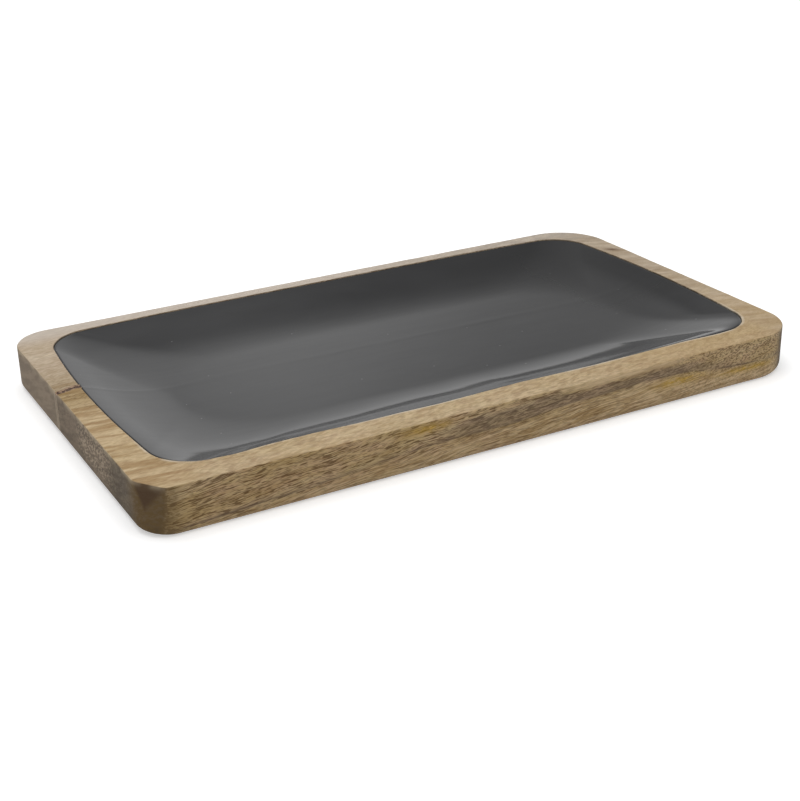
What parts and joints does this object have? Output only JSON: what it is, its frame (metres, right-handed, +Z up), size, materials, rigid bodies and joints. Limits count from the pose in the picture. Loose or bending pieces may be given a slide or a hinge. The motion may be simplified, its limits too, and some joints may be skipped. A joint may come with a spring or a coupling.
{
  "type": "serving board",
  "caption": "Rectangular wooden serving board with rounded corners, glued up from planks, with a shallow carved dish lined in dark enamel for serving food.",
  "frame": {"origin": "middle of the underside, on the surface that the board lies on", "axes": "+X along the board's length, +Y from its front edge to its back edge, +Z up"},
  "size_m": [0.38, 0.216, 0.025],
  "materials": {
    "back_wood": "oiled, satin, pinkish beige",
    "front_wood": "oiled, satin, yellowish tan with dark pores",
    "glue": "cured wood glue",
    "enamel": "glossy dark grey enamel",
    "filler": "dark brown wood filler"
  },
  "bodies": {
    "root": {"back_stave": "back_wood", "front_stave": "front_wood", "glue_line": "glue", "enamel_lining": "enamel", "seam_filler": "filler"}
  },
  "joints": []
}
